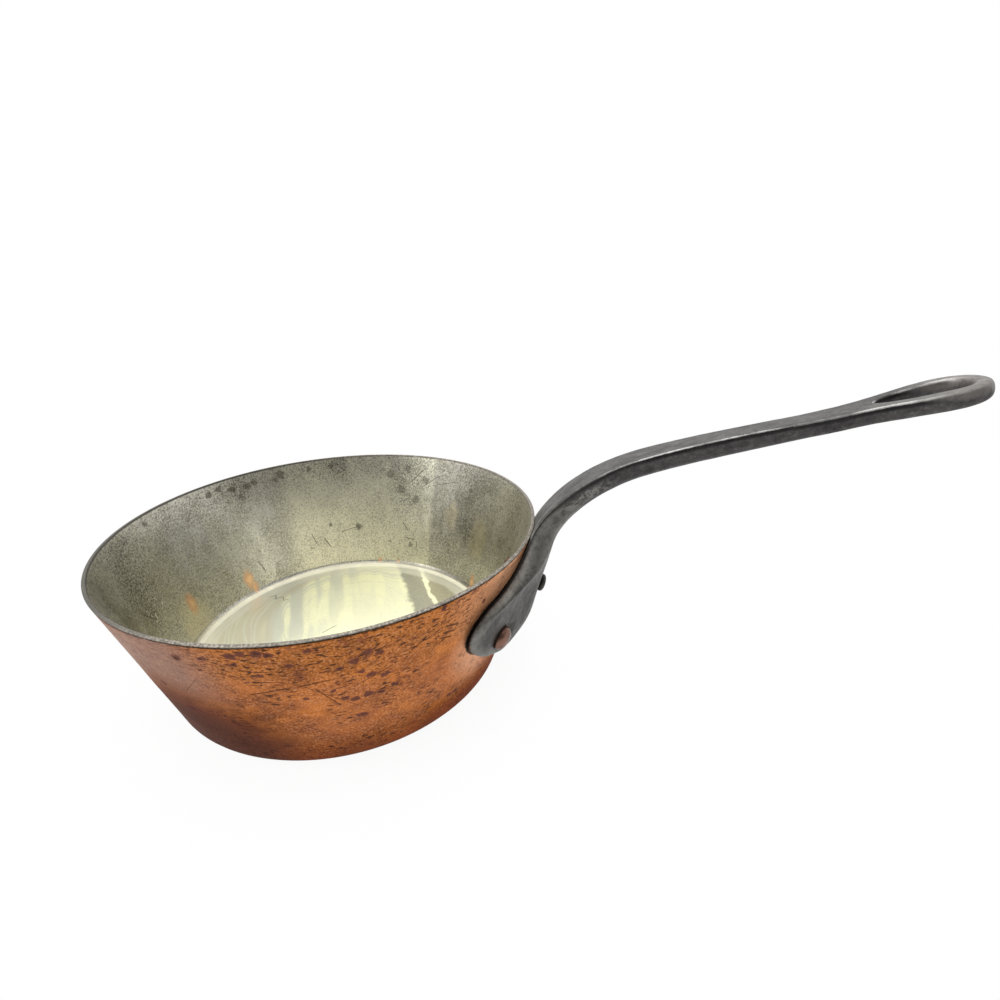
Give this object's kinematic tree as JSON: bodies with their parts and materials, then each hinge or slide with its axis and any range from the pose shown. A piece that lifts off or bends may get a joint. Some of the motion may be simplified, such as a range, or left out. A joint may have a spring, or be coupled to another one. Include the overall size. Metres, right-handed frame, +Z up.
{
  "type": "windsor pan",
  "caption": "Flared copper windsor pan lined with tin, with a riveted iron handle that bends up from a winged foot to a teardrop hanging loop.",
  "frame": {"origin": "centre of the flat underside of the base", "axes": "+Z up through the mouth, +X along the handle away from the body, +Y to the left of someone who looks from the body along the handle"},
  "size_m": [0.345, 0.2, 0.1337],
  "materials": {
    "copper": "worn satin, with tarnish spots",
    "tin": "satin, with grey stains",
    "iron": "dark and smooth from handling",
    "rivet_copper": "dull brown copper"
  },
  "bodies": {
    "root": {"copper_body": "copper", "tin_lining": "tin", "iron_handle": "iron", "rivet_middle": "rivet_copper", "rivet_left": "rivet_copper", "rivet_right": "rivet_copper"}
  },
  "joints": []
}
